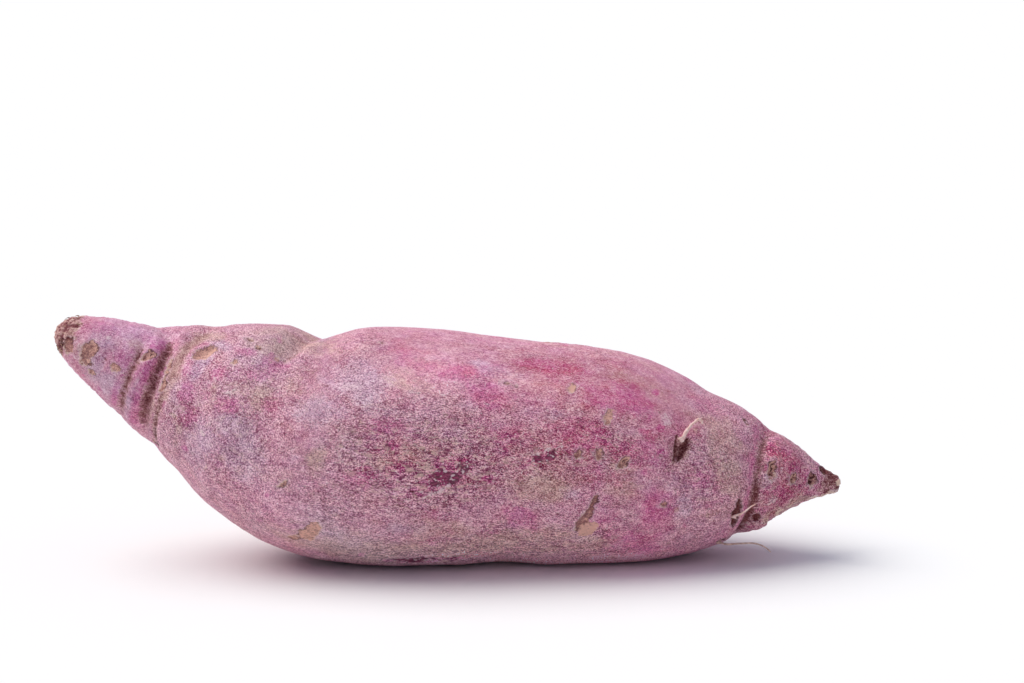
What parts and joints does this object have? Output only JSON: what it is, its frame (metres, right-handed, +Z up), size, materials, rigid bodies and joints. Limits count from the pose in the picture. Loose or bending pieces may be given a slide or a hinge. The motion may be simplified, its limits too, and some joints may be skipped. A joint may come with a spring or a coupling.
{
  "type": "purple sweet potato",
  "caption": "Whole purple sweet potato: a spindle-shaped storage root with a bent, creased neck, a pointed root tip and dried hair roots, resting on its belly.",
  "frame": {"origin": "On the surface the root rests on, under the middle of its box", "axes": "+X runs level from the stalk end to the root tip, +Z is up and -Y is the front, the side with the slanting eye and its rootlet"},
  "size_m": [0.185, 0.0574, 0.0592],
  "materials": {
    "skin": "matte",
    "dried_root": "matte"
  },
  "bodies": {
    "root": {"storage_root": "skin", "rootlet_in_slanting_eye": "dried_root", "rootlet_in_tip_scar": "dried_root", "rootlet_trailing": "dried_root"}
  },
  "joints": []
}
